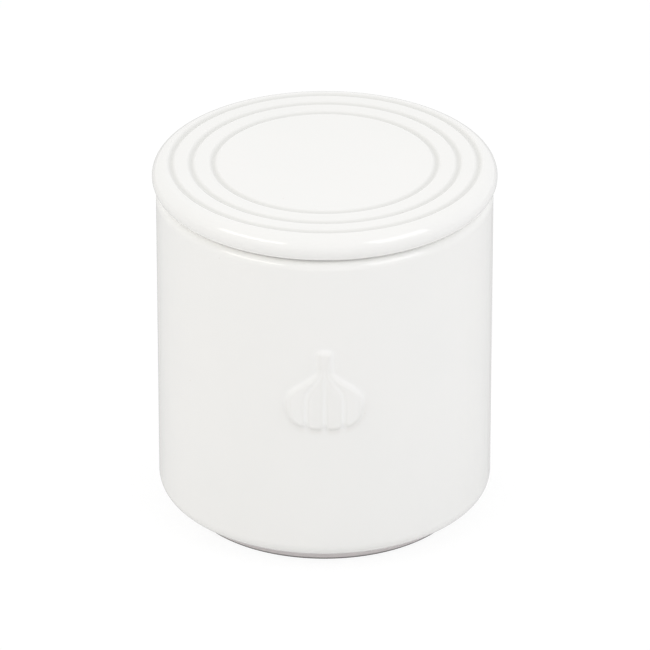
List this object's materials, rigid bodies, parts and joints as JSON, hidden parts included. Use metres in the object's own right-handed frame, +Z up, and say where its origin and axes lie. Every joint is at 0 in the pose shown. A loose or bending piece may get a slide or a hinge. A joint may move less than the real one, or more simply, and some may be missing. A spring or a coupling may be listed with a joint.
{
  "type": "garlic keeper",
  "caption": "Straight-sided glazed stoneware jar on a foot ring, with a flat grooved lid that lifts off, a raised garlic bulb on the front and vent holes behind.",
  "frame": {"origin": "on the table at the middle of the foot ring", "axes": "+Z up along the jar's axis, -Y towards the front with the raised garlic bulb, +X to the right as seen from the front"},
  "size_m": [0.108, 0.108, 0.1175],
  "materials": {
    "jar_glaze": "gloss",
    "lid_glaze": "gloss"
  },
  "bodies": {
    "jar": {"jar": "jar_glaze"},
    "lid": {"lid": "lid_glaze"}
  },
  "joints": [
    {"name": "lid_lift", "type": "slide", "parent": "jar", "child": "lid", "axis": [0, 0, 1], "range_m": [0, 0.04]}
  ]
}
